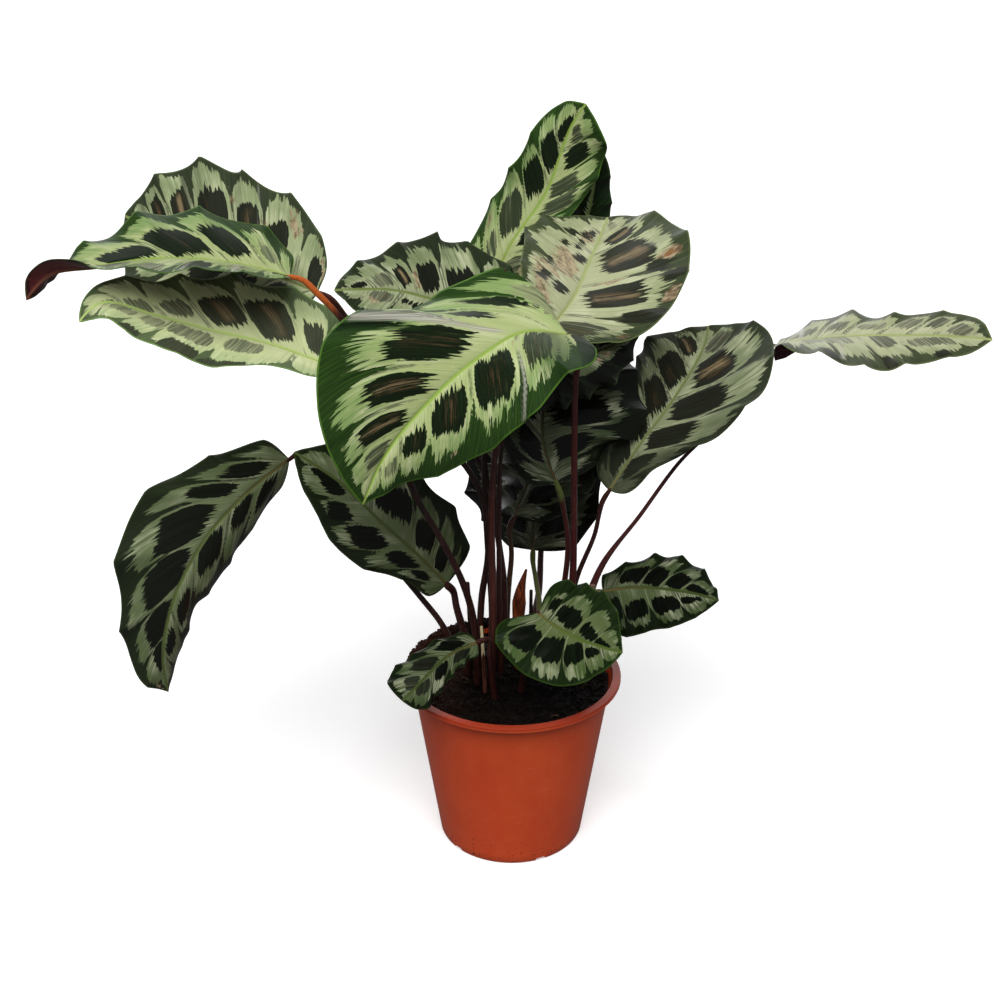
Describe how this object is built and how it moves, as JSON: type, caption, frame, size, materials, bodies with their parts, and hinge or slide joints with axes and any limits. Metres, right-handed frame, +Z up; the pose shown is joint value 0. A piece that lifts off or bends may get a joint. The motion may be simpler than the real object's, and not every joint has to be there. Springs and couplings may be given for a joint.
{
  "type": "potted calathea",
  "caption": "Bushy calathea with broad patterned leaves on long dark stalks, rooted in soil in a tapered plastic nursery pot with a rolled rim.",
  "frame": {"origin": "centre of the pot's base, on the surface it stands on", "axes": "+Z up along the pot's axis; -Y towards the viewer of the reference view; +X to that viewer's right"},
  "size_m": [0.5619, 0.3312, 0.4463],
  "materials": {
    "leaf_bright": "satin, green",
    "leaf_dark": "satin, dark green",
    "leaf_pale": "satin, pale green",
    "leaf_shaded": "glossy, deep green",
    "stalk": "satin, dark red-brown",
    "dried_growth": "matte, dry",
    "soil": "matte, crumbly",
    "pot": "moulded, orange-brown"
  },
  "bodies": {
    "root": {"blade_back_centre": "leaf_dark", "blade_back_left": "leaf_dark", "blade_far_right": "leaf_pale", "blade_front_large": "leaf_bright", "blade_inner_back": "leaf_shaded", "blade_inner_centre": "leaf_shaded", "blade_inner_right": "leaf_shaded", "blade_inner_top": "leaf_shaded", "blade_low_centre": "leaf_dark", "blade_low_left": "leaf_dark", "blade_mid_left": "leaf_bright", "blade_pale_right": "leaf_pale", "blade_right": "leaf_dark", "blade_small_front": "leaf_bright", "blade_small_left": "leaf_dark", "blade_small_right": "leaf_dark", "blade_top": "leaf_bright", "blade_top_behind": "leaf_shaded", "blade_upper_left": "leaf_bright", "dried_sheath": "dried_growth", "pot": "pot", "soil": "soil", "stalk_back_centre": "stalk", "stalk_back_left": "stalk", "stalk_far_right": "stalk", "stalk_front_large": "stalk", "stalk_inner_back": "stalk", "stalk_inner_centre": "stalk", "stalk_inner_right": "stalk", "stalk_inner_top": "stalk", "stalk_low_centre": "stalk", "stalk_low_left": "stalk", "stalk_mid_left": "stalk", "stalk_pale_right": "stalk", "stalk_right": "stalk", "stalk_small_front": "stalk", "stalk_small_left": "stalk", "stalk_small_right": "stalk", "stalk_top": "stalk", "stalk_top_behind": "stalk", "stalk_upper_left": "stalk", "stub_dark": "dried_growth", "stub_left": "dried_growth", "stub_middle": "dried_growth", "stub_right": "dried_growth"}
  },
  "joints": []
}
